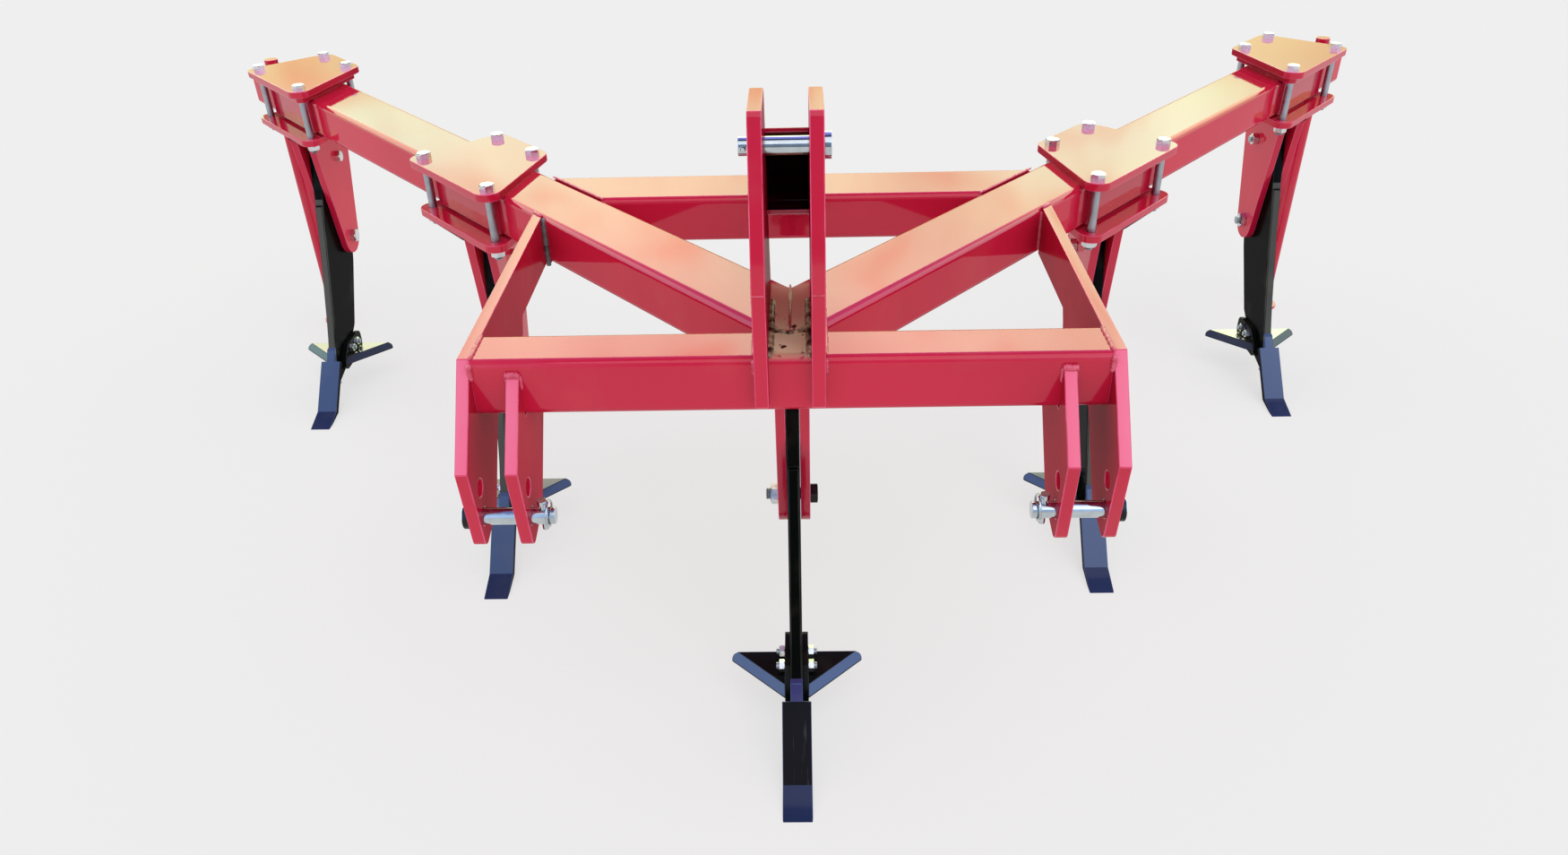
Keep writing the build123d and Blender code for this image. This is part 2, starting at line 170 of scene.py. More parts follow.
def enamel(name, color, dark, edge_highlight_color, coat=1.0, coat_roughness=0.06, ior=1.45, scratches=0.0,
           with_scorch_and_reflection=False):
    """Gloss paint over steel: slow waves, orange peel, a lighter colour on the rounded edges that is partly
    thin paint and partly a painted highlight, and a little dust.

    scratches is the depth of fine scratches, in metres; the last flag adds the patch of heat-faded paint
    with a painted reflection of the sky on it."""
    g = Graph(name, color, 0.45)
    layers = [(g.noise(2.6, 2), WAVES), (g.noise(150, 2), ORANGE_PEEL)]
    base = g.mix(g.span(g.noise(2.4, 4), 0.35, 0.65), dark, color)
    if with_scorch_and_reflection:
        base = scorch_and_reflection(g, base)
    if scratches:
        fine = g.span(g.noise(150, 2, stretch=(1, 0.08, 0.08)), 0.62, 0.68)
        base = g.mix(g.times(fine, 0.7), base, SCRATCH)
        layers.append((fine, scratches))
    # The rounded edges turn lighter: partly thin paint, partly a painted highlight
    edge_highlight = g.times(g.edge(), g.span(g.noise(22, 4), 0.30, 0.60, 0.25, 1.0))
    base = g.mix(edge_highlight, base, edge_highlight_color)
    dust = g.times(g.span(g.noise(7, 6), 0.55, 0.75), 0.05)
    g.link(g.mix(dust, base, DUST), "Base Color")
    g.link(g.span(g.noise(9, 5), 0.3, 0.7, 0.38, 0.55), "Roughness")
    g.set("Specular IOR Level", 0.0)
    g.set("Coat Weight", coat)
    g.set("Coat Roughness", coat_roughness)
    g.set("Coat IOR", ior)
    g.bump(*layers)
    return g.material


# The patch of heat-faded paint with a painted reflection of the sky, in metres of the shared frame; pink
# and soot count from its front end
SCORCH_REFLECTION_FRONT, SCORCH_REFLECTION_REAR = -0.745, -0.50
SCORCH_REFLECTION_HALF_WIDTH, SCORCH_REFLECTION_HEIGHT = 0.028, 0.736
SCORCH_REFLECTION_FADE = 0.02
PINK_FROM, PINK_TO = 0.085, 0.125
SOOT_FROM, SOOT_TO = 0.12, 0.15
# Tan, pale tan and pink: the faded paint brightened as a painted reflection of the sky; soot is dark specks
TAN, PALE_TAN, PINK, SOOT = (0.96, 0.74, 0.50), (1.0, 0.84, 0.62), (1.0, 0.58, 0.44), (0.06, 0.03, 0.02)


def scorch_and_reflection(g, base):
    """Paint that the welding heat faded, on top between the mast's plates, painted bright as a reflection
    of the sky.

    It is tan with specks of soot in front, and pinker behind; the bright tan and pink are a painted
    reflection."""
    place = g.parts()
    across = g.calculate("ABSOLUTE", place["X"])
    patch = g.times(g.span(across, SCORCH_REFLECTION_HALF_WIDTH, SCORCH_REFLECTION_HALF_WIDTH + 0.003, 1.0, 0.0),
                    g.span(place["Y"], SCORCH_REFLECTION_FRONT, SCORCH_REFLECTION_FRONT + SCORCH_REFLECTION_FADE))
    patch = g.times(patch, g.span(place["Y"], SCORCH_REFLECTION_REAR - SCORCH_REFLECTION_FADE, SCORCH_REFLECTION_REAR, 1.0, 0.0))
    patch = g.times(patch, g.span(place["Z"], SCORCH_REFLECTION_HEIGHT, SCORCH_REFLECTION_HEIGHT + 0.002))
    faded_and_reflecting = g.mix(g.span(g.noise(30, 5), 0.35, 0.65), TAN, PALE_TAN)
    faded_and_reflecting = g.mix(g.span(place["Y"], SCORCH_REFLECTION_FRONT + PINK_FROM, SCORCH_REFLECTION_FRONT + PINK_TO), faded_and_reflecting, PINK)
    soot = g.times(g.span(g.noise(70, 4), 0.61, 0.66),
                   g.span(place["Y"], SCORCH_REFLECTION_FRONT + SOOT_FROM, SCORCH_REFLECTION_FRONT + SOOT_TO, 1.0, 0.0))
    return g.mix(patch, base, g.mix(soot, faded_and_reflecting, SOOT))


def bright_metal(name, color, roughness, scratch):
    """Plated steel with fine turned scratches and a little dulling."""
    g = Graph(name, color, roughness, 1.0)
    dull = g.span(g.noise(45, 4), 0.35, 0.7)
    g.link(g.mix(dull, color, tuple(0.82 * c for c in color)), "Base Color")
    g.link(g.span(g.noise(120, 4), 0.3, 0.7, roughness * 0.7, roughness * 1.5), "Roughness")
    g.bump((g.noise(500, 2, stretch=scratch), 0.00002))
    return g.material


def weld_metal(name, color, other, roughness):
    """A weld bead's surface, mottled between two colours."""
    g = Graph(name, color, roughness)
    g.link(g.mix(g.span(g.noise(90, 4), 0.35, 0.65), color, other), "Base Color")
    g.link(g.span(g.noise(200, 3), 0.3, 0.7, roughness * 0.7, roughness * 1.2), "Roughness")
    g.set("Coat Weight", 0.4)
    g.bump((g.noise(260, 3), 0.0003))
    return g.material


# Each enamel: name, colour, darker tone, lighter colour on edges (partly thin paint, partly a painted
# highlight), and weight, roughness and IOR of the coat
RED, DARK_RED, EDGE_HIGHLIGHT_RED = (0.60, 0.012, 0.052), (0.54, 0.009, 0.044), (0.80, 0.08, 0.21)
red = enamel("crimson_enamel", RED, DARK_RED, EDGE_HIGHLIGHT_RED)
# The plates' broad sides: a darker, less glossy copy of the red, as painted shade
shaded_side_red = enamel("shaded_side_crimson_enamel", (0.58, 0.012, 0.048), (0.40, 0.008, 0.028), EDGE_HIGHLIGHT_RED, 0.18, 0.12)
# The leg holders' broad sides: a lighter copy of the red, as painted light
lit_cheek_red = enamel("lit_cheek_crimson_enamel", (0.74, 0.022, 0.060), (0.64, 0.014, 0.050), EDGE_HIGHLIGHT_RED, 0.65)
# The hitch's upward-leaning front edges: a lighter pink, as a painted highlight
lit_rim_red = enamel("lit_rim_crimson_enamel", (0.86, 0.165, 0.30), (0.84, 0.11, 0.24), (0.90, 0.22, 0.38), 0.9)
# The arms' upright front faces: a lighter, less glossy copy of the red, as painted light
lit_arm_red = enamel("lit_arm_crimson_enamel", (0.66, 0.018, 0.056), (0.58, 0.012, 0.048), EDGE_HIGHLIGHT_RED, 0.65)
# The arms and the front bar, with the heat-faded patch and its painted sky reflection
apex_red = enamel("scorched_and_reflecting_crimson_enamel", RED, DARK_RED, EDGE_HIGHLIGHT_RED, with_scorch_and_reflection=True)
inside_red = enamel("dark_inside", (0.26, 0.10, 0.085), (0.17, 0.065, 0.055), (0.26, 0.08, 0.07), 0.1, 0.4)
black = enamel("black_enamel", (0.0018, 0.0024, 0.0020), (0.0012, 0.0015, 0.0013), (0.025, 0.03, 0.027),
               0.17, 0.22, 1.35)
shin_black = enamel("worn_shin", (0.088, 0.092, 0.084), (0.060, 0.064, 0.058), (0.36, 0.38, 0.36),
                    0.3, 0.25, 1.4)
navy = enamel("navy_enamel", (0.019, 0.030, 0.098), (0.014, 0.023, 0.080), (0.05, 0.08, 0.20),
              0.5, 0.15, 1.4)
slate = enamel("slate_blue_enamel", (0.055, 0.095, 0.22), (0.045, 0.080, 0.19), (0.14, 0.20, 0.36),
               0.8, 0.2, 1.45)
violet = enamel("violet_blue_enamel", (0.040, 0.038, 0.16), (0.030, 0.030, 0.12), (0.20, 0.22, 0.42),
                0.6, 0.2, 1.4)
black_leaf = enamel("scuffed_leaf", (0.0035, 0.003, 0.007), (0.002, 0.002, 0.004), (0.03, 0.03, 0.07),
                    0.3, 0.2, 1.35, scratches=0.0004)
wing_black = enamel("blue_black_enamel", (0.004, 0.006, 0.006), (0.003, 0.004, 0.004), (0.03, 0.035, 0.04),
                    1.0, 0.10, 1.6)
wing_dark = enamel("black_wing_enamel", (0.004, 0.005, 0.005), (0.003, 0.004, 0.004), (0.03, 0.035, 0.04),
                   0.25, 0.15, 1.4)
# The outer wings' flat tops: a glossier enamel, its base lighter and more yellow than the wings' black as a
# painted reflection of the cream sky
wing_top_painted_sheen = enamel("mirror_wing_enamel", (0.030, 0.028, 0.010), (0.018, 0.016, 0.006), (0.08, 0.08, 0.05),
                     1.0, 0.08, 2.6)
wing_grey = enamel("grey_ground_edge", (0.012, 0.012, 0.026), (0.008, 0.008, 0.018), (0.03, 0.03, 0.06),
                   0.9, 0.14, 1.5)
wing_edge = enamel("blue_ground_edge", (0.030, 0.060, 0.17), (0.022, 0.045, 0.14), (0.10, 0.16, 0.30),
                   1.0, 0.14, 1.5)
zinc = bright_metal("bright_zinc", (0.75, 0.76, 0.76), 0.26, (1, 1, 0.15))
dull_zinc = bright_metal("dull_zinc", (0.40, 0.42, 0.44), 0.36, (1, 1, 0.15))
dark_steel = bright_metal("dark_steel", (0.035, 0.035, 0.035), 0.35, (1, 1, 0.15))
bare_steel = bright_metal("bare_steel", (0.52, 0.52, 0.50), 0.40, (0.2, 1, 1))
chrome = bright_metal("polished_pin", (0.56, 0.62, 0.64), 0.11, (0.1, 1, 1))
painted_weld = weld_metal("painted_weld", (0.60, 0.03, 0.08), (0.72, 0.10, 0.18), 0.35)
brown_weld = weld_metal("bare_weld", (0.03, 0.016, 0.010), (0.85, 0.62, 0.42), 0.5)
dark_weld = weld_metal("dark_weld", (0.05, 0.05, 0.055), (0.16, 0.15, 0.16), 0.45)


# Pieces

slot_of = {row["node"]: row["material_slot"] for row in frame["record"]["subparts"]}


def body_of(node):
    return frame["nodes"][node]["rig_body"]


def box_of(points):
    """Lowest and highest corner of some points."""
    low = Vector([min(p[i] for p in points) for i in range(3)])
    high = Vector([max(p[i] for p in points) for i in range(3)])
    return low, high


LEGS = ("centre", "mid_left", "mid_right", "outer_left", "outer_right")
leg_tip = {}
for leg in LEGS:
    thing = frame["nodes"]["point_" + leg]
    low, high = box_of([thing.matrix_world @ v.co for v in thing.data.vertices])
    leg_tip[leg] = Vector(((low.x + high.x) / 2, low.y, 0))
tip_y = leg_tip["centre"].y


def at(x, y, z):
    """A place in millimetres, with Y counted from the centre leg's tip, as drawn in part.py."""
    return Vector((x * MM, tip_y + y * MM, z * MM))


def from_tip(leg, x, y, z):
    """A place in millimetres from the ground under the tip of a leg's point."""
    return leg_tip[leg] + Vector((x * MM, y * MM, z * MM))


def mesh_from(name, bm):
    mesh = bpy.data.meshes.new(name)
    bm.to_mesh(mesh)
    bm.free()
    return mesh


def add_piece(name, bm, body, materials, nodes=()):
    """Make a bmesh a piece of the object that rides on a body and may stand for CAD nodes."""
    mesh = mesh_from(name, bm)
    piece = bpy.data.objects.new(name, mesh)
    bpy.context.scene.collection.objects.link(piece)
    for material in materials:
        mesh.materials.append(material)
    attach(piece, body)
    if nodes:
        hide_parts(*nodes)
    return piece


def solid_of(node):
    """The CAD node's surface as a closed bmesh with flat faces made whole."""
    bm = bmesh.new()
    bm.from_mesh(frame["nodes"][node].data)
    bmesh.ops.remove_doubles(bm, verts=bm.verts, dist=0.002 * MM)
    bmesh.ops.dissolve_limit(bm, angle_limit=math.radians(0.6), verts=bm.verts, edges=bm.edges)
    return bm


SHARP = math.radians(33)


def soften(piece):
    """Flat faces stay flat while rounded ones shade smoothly."""
    modifier = piece.modifiers.new("flats", "WEIGHTED_NORMAL")
    modifier.keep_sharp = True
    modifier.weight = 100


def mark_sharp(bm):
    for face in bm.faces:
        face.smooth = True
    for e in bm.edges:
        e.smooth = e.is_manifold and e.calc_face_angle() < SHARP


def dress(node, edge, materials, choose=None):
    """Show the node with its sharp edges rounded by the given radius in millimetres.

    choose gives the index of a face's material from its middle and normal."""
    bm = solid_of(node)
    if choose:
        bm.normal_update()
        for face in bm.faces:
            face.material_index = choose(face.calc_center_median(), face.normal)
    layer = bm.faces.layers.float.new("edge")
    corners = [e for e in bm.edges if e.is_manifold and e.calc_face_angle() > SHARP]
    made = bmesh.ops.bevel(bm, geom=corners, offset=edge * MM, segments=2, profile=0.5, affect="EDGES",
                           clamp_overlap=False)
    for face in made["faces"]:
        face[layer] = 1.0
    mark_sharp(bm)
    soften(add_piece("skin_" + node, bm, body_of(node), materials, [node]))


def islands(node):
    """Lowest and highest corner of each loose solid in a CAD node."""
    bm = solid_of(node)
    todo = set(bm.verts)
    boxes = []
    while todo:
        front = [todo.pop()]
        group = []
        while front:
            vert = front.pop()
            group.append(vert.co.copy())
            for e in vert.link_edges:
                other = e.other_vert(vert)
                if other in todo:
                    todo.remove(other)
                    front.append(other)
        boxes.append(box_of(group))
    bm.free()
    return sorted(boxes, key=lambda box: tuple(box[0]))


# Bolts, drawn standing on the XY plane

# Points around a shaft, a washer and a hexagon
ROUND, WASHER_ROUND, HEX_ROUND = 20, 40, 48
# Materials: plated faces, threads and dark heads
BRIGHT, THREADED, DARK = 0, 1, 2
CHAMFER_HEIGHT, CHAMFER_ANGLE = 0.4 * MM, math.radians(30)
WASHER_RIM = 0.3 * MM
# The flat round on a hexagon's end, as a share of half its width across flats
CHAMFER_FACE = 0.93
# Shares of a bolt's nominal size
HALF_FLATS = 0.78
PITCH = 0.125
CREST, ROOT, THREAD_TIP, STUB_TIP = 0.5, 0.43, 0.40, 0.42
WASHER_RADIUS = 0.95


def add_rings(bm, rings, index=0):
    """Join rings of points, given bottom up, into a closed skin with flat ends."""
    rows = [[bm.verts.new(p) for p in points] for points in rings]
    count = len(rows[0])
    faces = []
    for low, high in zip(rows, rows[1:]):
        for i in range(count):
            faces.append(bm.faces.new((low[i], low[(i + 1) % count], high[(i + 1) % count], high[i])))
    faces.append(bm.faces.new(list(reversed(rows[0]))))
    faces.append(bm.faces.new(rows[-1]))
    for face in faces:
        face.material_index = index


def ring(radius, height, count=ROUND):
    return [Vector((radius * math.cos(a), radius * math.sin(a), height))
            for a in (2 * math.pi * i / count for i in range(count))]


def hex_ring(apothem, height, fall, turn):
    """A hexagon's outline whose corners drop away as a chamfer cone cuts them."""
    points = []
    for i in range(HEX_ROUND):
        a = 2 * math.pi * i / HEX_ROUND
        radius = apothem / math.cos((a % (math.pi / 3)) - math.pi / 6)
        drop = fall * (radius - apothem) * math.tan(CHAMFER_ANGLE)
        points.append(Vector((radius * math.cos(a + turn), radius * math.sin(a + turn), height - drop)))
    return points


def add_hex(bm, size, base, height, both=False, index=BRIGHT):
    """A hex head or nut for a bolt of the given size, standing on base; both is for two chamfers."""
    apothem = size * HALF_FLATS
    face = apothem * CHAMFER_FACE
    turn = random.uniform(0, math.pi)
    top = base + height
    rings = [hex_ring(apothem, top - CHAMFER_HEIGHT, 1, turn), ring(face, top, HEX_ROUND)]
    if both:
        rings = [ring(face, base, HEX_ROUND), hex_ring(apothem, base + CHAMFER_HEIGHT, -1, turn)] + rings
    else:
        rings = [hex_ring(apothem, base, 0, turn)] + rings
    add_rings(bm, rings, index)


def add_washer(bm, size, base, thickness):
    outer = size * WASHER_RADIUS
    inner = outer - WASHER_RIM
    top = base + thickness
    steps = ((inner, base), (outer, base + WASHER_RIM), (outer, top - WASHER_RIM), (inner, top))
    add_rings(bm, [ring(radius, height, WASHER_ROUND) for radius, height in steps])


def add_shaft(bm, size, low, high, thread_top):
    """A plain shaft with a thread from its lower end up to thread_top."""
    pitch = size * PITCH
    rings = [ring(size * THREAD_TIP, low)]
    height = low + pitch / 2
    while height < thread_top:
        rings += [ring(size * CREST, height), ring(size * ROOT, height + pitch / 2)]
        height += pitch
    rings += [ring(size * CREST, max(height, thread_top)), ring(size * CREST, high)]
    add_rings(bm, rings, THREADED)


def place_part(bm, part, place, turn=None):
    """Move a part that was drawn on the XY plane to its place and add it to bm."""
    if turn:
        bmesh.ops.transform(part, matrix=turn, verts=part.verts)
    bmesh.ops.translate(part, verts=part.verts, vec=place)
    scratch = mesh_from("scratch", part)
    bm.from_mesh(scratch)
    bpy.data.meshes.remove(scratch)


def finish_bolts(name, bm, body, materials, nodes=()):
    mark_sharp(bm)
    soften(add_piece(name, bm, body, materials, nodes))


CLAMP_BOLT = 16 * MM
CLAMP_HEAD = 11 * MM
CLAMP_NUT = 14 * MM
CLAMP_WASHER = 2.5 * MM
CLAMP_THREAD = 9 * MM
BOLT_TAIL = 6 * MM
UPRIGHT_TO_X = Matrix.Rotation(math.pi / 2, 4, "Y")
UPRIGHT_TO_MINUS_X = Matrix.Rotation(-math.pi / 2, 4, "Y")


def clamp_bolts(node):
    """The four long bolts of a clamp, heads up."""
    bm = bmesh.new()
    for low, high in islands(node):
        part = bmesh.new()
        nut_base = low.z + BOLT_TAIL
        nut_top = nut_base + CLAMP_NUT
        head_base = high.z - CLAMP_HEAD
        add_shaft(part, CLAMP_BOLT, low.z, head_base, nut_top + CLAMP_THREAD)
        add_hex(part, CLAMP_BOLT, head_base, CLAMP_HEAD)
        add_hex(part, CLAMP_BOLT, nut_base, CLAMP_NUT - CLAMP_WASHER, both=True)
        add_washer(part, CLAMP_BOLT, nut_top - CLAMP_WASHER, CLAMP_WASHER)
        middle = (low + high) / 2
        place_part(bm, part, (middle.x, middle.y, 0))
    finish_bolts("long_" + node, bm, body_of(node), [zinc, dull_zinc], [node])


def stub(bm, place, side, size, nut, tail):
    """A nut with its thread end that stands out from a face along X."""
    part = bmesh.new()
    add_hex(part, size, 0, nut, both=True)
    rings = [ring(size * CREST, nut - 0.5 * MM), ring(size * CREST, nut + tail - 0.6 * MM),
             ring(size * STUB_TIP, nut + tail)]
    add_rings(part, rings, THREADED)
    place_part(bm, part, place, UPRIGHT_TO_X if side > 0 else UPRIGHT_TO_MINUS_X)


# Places in millimetres from a leg's tip: Y and Z of the bolts, and X of the faces they stand on
PIVOT, SHEAR = (400, 350), (422, 555)
BRACKET_BOLTS, NOSE_NUT = ((240, 104), (274, 104)), (140, 56)
CHEEK_OUT, CHEEK_IN, BRACKET_OUT, NOSE_OUT = 27, 11, 20, 10
PIVOT_SIZE, PIVOT_HEAD, PIVOT_NUT, PIVOT_TAIL = 20 * MM, 13 * MM, 13 * MM, 8 * MM
SHEAR_SIZE, SHEAR_HEAD, SHEAR_NUT, SHEAR_TAIL = 16 * MM, 11 * MM, 14 * MM, 6 * MM
THREAD_IN_NUT = 1 * MM
# Size, nut and tail of the small bolts
BRACKET_BOLT = (12 * MM, 10 * MM, 5 * MM)
NOSE_BOLT = (8 * MM, 6 * MM, 2.5 * MM)


def pivot_bolt(head_index):
    """The leg's lower bolt along X: nut and thread at its -X end, head at its +X end."""
    part = bmesh.new()
    face = CHEEK_OUT * MM
    nut_end = -face - PIVOT_NUT
    add_shaft(part, PIVOT_SIZE, nut_end - PIVOT_TAIL, face, nut_end + THREAD_IN_NUT)
    add_hex(part, PIVOT_SIZE, nut_end, PIVOT_NUT, both=True)
    add_hex(part, PIVOT_SIZE, face, PIVOT_HEAD, index=head_index)
    return part


def shear_end(side, head_index):
    """One end of the shear bolt in its cheek, drawn from the cheek's inner face."""
    part = bmesh.new()
    length = (CHEEK_OUT - CHEEK_IN) * MM
    if side < 0:
        nut_end = -length - SHEAR_NUT
        add_shaft(part, SHEAR_SIZE, nut_end - SHEAR_TAIL, 0, nut_end + THREAD_IN_NUT)
        add_hex(part, SHEAR_SIZE, nut_end, SHEAR_NUT, both=True)
    else:
        add_rings(part, [ring(SHEAR_SIZE / 2, 0), ring(SHEAR_SIZE / 2, length)], THREADED)
        add_hex(part, SHEAR_SIZE, length, SHEAR_HEAD, index=head_index)
    return part


def leg_bolts(leg):
    """The pivot bolt and the two ends of the shear bolt, in the cheeks."""
    bm = bmesh.new()
    head_index = DARK if leg == "centre" else BRIGHT
    place_part(bm, pivot_bolt(head_index), from_tip(leg, 0, *PIVOT), UPRIGHT_TO_X)
    for side, _ in SIDES:
        place = from_tip(leg, side * CHEEK_IN, *SHEAR)
        place_part(bm, shear_end(side, head_index), place, UPRIGHT_TO_X)
    node = "leg_bolts_" + leg
    finish_bolts("refined_" + node, bm, body_of(node), [zinc, dull_zinc, dark_steel], [node])


def small_bolts(leg):
    """The wing brackets' bolts and the nut that holds the point's nose."""
    bm = bmesh.new()
    for side, _ in SIDES:
        for spot in BRACKET_BOLTS:
            stub(bm, from_tip(leg, side * BRACKET_OUT, *spot), side, *BRACKET_BOLT)
        stub(bm, from_tip(leg, side * NOSE_OUT, *NOSE_NUT), side, *NOSE_BOLT)
    finish_bolts("small_bolts_" + leg, bm, body_of("shank_" + leg), [zinc, dull_zinc])


# Welds

# Shares of a bead's radius: its ripple, the chance in it, its wander, and its ends' size and growth
RIPPLE, RIPPLE_CHANCE, WANDER = 0.16, 0.10, 0.12
END_SIZE, END_GROWTH = 0.55, 6
SLANTED = Vector((0.31, 0.17, 0.93))
BEAD_ROUND = 8


def weld(name, path, radius, material=painted_weld, step=2.4):
    """A rippled bead along a path in metres; radius and step are in millimetres."""
    bm = bmesh.new()
    for start, end in zip(path, path[1:]):
        along = (end - start).normalized()
        side = along.cross(SLANTED).normalized()
        up = along.cross(side)
        count = max(3, int((end - start).length / (step * MM)))
        rings = []
        for i in range(count + 1):
            share = i / count
            ripple = 1 + RIPPLE * math.cos(i * math.pi) + random.uniform(-RIPPLE_CHANCE, RIPPLE_CHANCE)
            taper = min(1, END_SIZE + END_GROWTH * min(share, 1 - share))
            size = radius * MM * ripple * taper
            wander = side * random.uniform(-WANDER, WANDER) * radius * MM
            centre = start.lerp(end, share) + wander
            rings.append([centre + (side * math.cos(a) + up * math.sin(a)) * size
                          for a in (2 * math.pi * k / BEAD_ROUND for k in range(BEAD_ROUND))])
        add_rings(bm, rings)
    bmesh.ops.recalc_face_normals(bm, faces=bm.faces)
    for face in bm.faces:
        face.smooth = True
    add_piece(name, bm, "frame", [material])


def weld_both(name, start, end, radius, material=painted_weld):
    """The same bead on both sides; its ends are given for the right one, in millimetres."""
    for side, word in SIDES:
        path = [at(side * x, y, z) for x, y, z in (start, end)]
        weld("weld_" + name + "_" + word, path, radius, material)


# The arms as drawn in part.py, in millimetres
ARM_ANGLE = math.radians(47.7)
ARM_SLOPE = math.tan(ARM_ANGLE)
APEX_Y = 307
TUBE = 125
# Height of the beads on the tubes, and the stand sleeves' beads along an arm and aside from its middle
ON_TUBES = 740.5
SLEEVE_WELD, SLEEVE_HALF = 1986.5, 23


def arm_front(x):
    """Y of the arm's front face at a place x, in millimetres."""
    return APEX_Y + x * ARM_SLOPE - TUBE / 2 / math.cos(ARM_ANGLE)


def weld_plate_back(word, x, low, high, radius, material=painted_weld, step=2.4):
    """The upright bead between a hitch plate and the front face of its arm."""
    y = arm_front(abs(x)) - 1
    weld("weld_plate_back_" + word, [at(x, y, low), at(x, y, high)], radius, material, step)


def weld_frame():
    """Beads where the plates, tubes and cheeks of the frame meet."""
    rows = [
        # name, x, y and z of both ends, radius
        ("ear_top", (368, 166, 721), (390, 166, 721), 5),
        ("ear_in", (368.5, 167, 698), (368.5, 167, 720), 2.5),
        ("ear_out", (388.5, 167, 698), (388.5, 167, 720), 2.5),
        ("bar_end", (436, 167.5, 712), (436, 167.5, 737), 4),
        ("bar_end_top", (436.5, 176, ON_TUBES), (436.5, 248, ON_TUBES), 3),
        ("plate_back_top", (437, 697, ON_TUBES), (455, 717, ON_TUBES), 3),
        ("mast_front", (49.5, 167.5, 716), (49.5, 167.5, 738), 3.2),
        ("mast_foot", (49.5, 176, 741), (49.5, 394, 741), 3.2),
        ("rear_bar_top", (340, 773, ON_TUBES), (453, 897, ON_TUBES), 2.4),
        ("rear_bar_front", (338, 772, 664), (338, 772, 734), 3),
        ("mast_seam", (30, 148, 842), (48, 148, 842), 1.0),
        ("stay_foot", (47.5, 774, 741), (47.5, 876, 741), 3),
    ]
    for row in rows:
        weld_both(*row)
    weld_plate_back("right", 436, 664, 734, 4)
    weld_plate_back("left", -435, 650, 738, 7, dark_weld, 4)
    weld_both("mast_inside", (27, 172, 742), (27, 345, 742), 5, brown_weld)
    bow = [at(x, 240 + 20 * (x / 24) ** 2, 741) for x in (-24, -14, -5, 5, 14, 24)]
    weld("weld_mast_cross", bow, 3.5, brown_weld)
    weld("weld_apex", [at(0, 258, ON_TUBES), at(0, 398, ON_TUBES)], 2.2)
    for leg in LEGS:
        for side, word in SIDES:
            path = [from_tip(leg, side * (CHEEK_OUT + 1), y, 639) for y in (308, 520)]
            weld("weld_cheek_" + leg + "_" + word, path, 3.5)
    for side, word in SIDES:
        for across, end in ((-SLEEVE_HALF, "_out"), (SLEEVE_HALF, "_in")):
            x = SLEEVE_WELD * math.cos(ARM_ANGLE) - across * math.sin(ARM_ANGLE)
            y = APEX_Y + SLEEVE_WELD * math.sin(ARM_ANGLE) + across * math.cos(ARM_ANGLE)
            weld("weld_sleeve_" + word + end, [at(side * x, y, z) for z in (660, 730)], 2.5)


# Which material a face takes, as an index in the list that dress() is given

# Limits in millimetres, counted from the leg's tip
NOSE_END, UPPER_HALF, UPPER_TOP = 58, 20, 113
SHIN_HALF, SHIN_LOW, SHIN_HIGH = 8.5, 100, 460
BRACKET_HALF = 24
# In metres of the shared frame: above the hitch plates' holes, and where a lower pin's end begins
ABOVE_HOLES = 0.6
PIN_END = 0.4557


def local(leg, point):
    """A place in the leg's own millimetres, from its tip."""
    return (point - leg_tip[leg]) / MM


def point_face(leg):
    """0 on the nose, 1 on the upper face behind it, 2 on the worn heel, 3 below and beside, 4 above."""
    def choose(middle, normal):
        spot = local(leg, middle)
        if normal.z > 0.5 and normal.y > 0.4:
            return 2
        if spot.z > UPPER_TOP:
            return 4
        if normal.z > 0.3 and normal.y < -0.1 and abs(spot.x) < UPPER_HALF:
            return 0 if spot.y < NOSE_END else 1
        return 3
    return choose


def shank_face(leg):
    """1 on the shin's thin sides and on its front, 0 elsewhere."""
    def choose(middle, normal):
        spot = local(leg, middle)
        on_side = abs(normal.x) > 0.9 and abs(spot.x) < SHIN_HALF
        on_front = normal.y < -0.5 and abs(normal.x) < 0.1 and SHIN_LOW < spot.z < SHIN_HIGH
        return 1 if on_side or on_front else 0
    return choose


def wing_face(leg):
    """0 on the brackets and below, 1 on the ground front edges, 2 on the flat tops."""
    def choose(middle, normal):
        if abs(local(leg, middle).x) < BRACKET_HALF:
            return 0
        if 0.5 < normal.z < 0.9 and normal.y < -0.1:
            return 1
        return 2 if normal.z > 0.9 else 0
    return choose


# Y and Z of the stay's upper edge at both ends, and how far its lower edge is below, in millimetres
STAY_FRONT, STAY_END = (305, 1012), (880, 780)
STAY_DROP = 120.8
STAY_HALF, STAY_MARGIN = 40, 3
IN_FRONT = 2 * MM


def stay_face(middle, normal):
    """1 on the faces inside the stay's tube, told by a place just in front of the face."""
    spot = (middle + normal * IN_FRONT - Vector((0, tip_y, 0))) / MM
    share = (spot.y - STAY_FRONT[0]) / (STAY_END[0] - STAY_FRONT[0])
    high = STAY_FRONT[1] + share * (STAY_END[1] - STAY_FRONT[1])
    between = high - STAY_DROP + STAY_MARGIN < spot.z < high - STAY_MARGIN
    behind_mouth = spot.y > STAY_FRONT[0] + STAY_MARGIN
    return 1 if between and behind_mouth and abs(spot.x) < STAY_HALF else 0


def red_face(node):
    """Plates: 1 on the broad sides (painted shade on most plates, painted light on the leg holders), 2 on
    the narrow front edges of the hitch that lean up, painted lighter as a highlight.
    """
    rims = node.startswith(("hitch_plate", "hitch_ear"))

    def choose(middle, normal):
        if abs(normal.x) > 0.9:
            return 1
        leaning = normal.y < -0.6 and normal.z > 0.05
        return 2 if rims and leaning and middle.z > ABOVE_HOLES else 0
    return choose


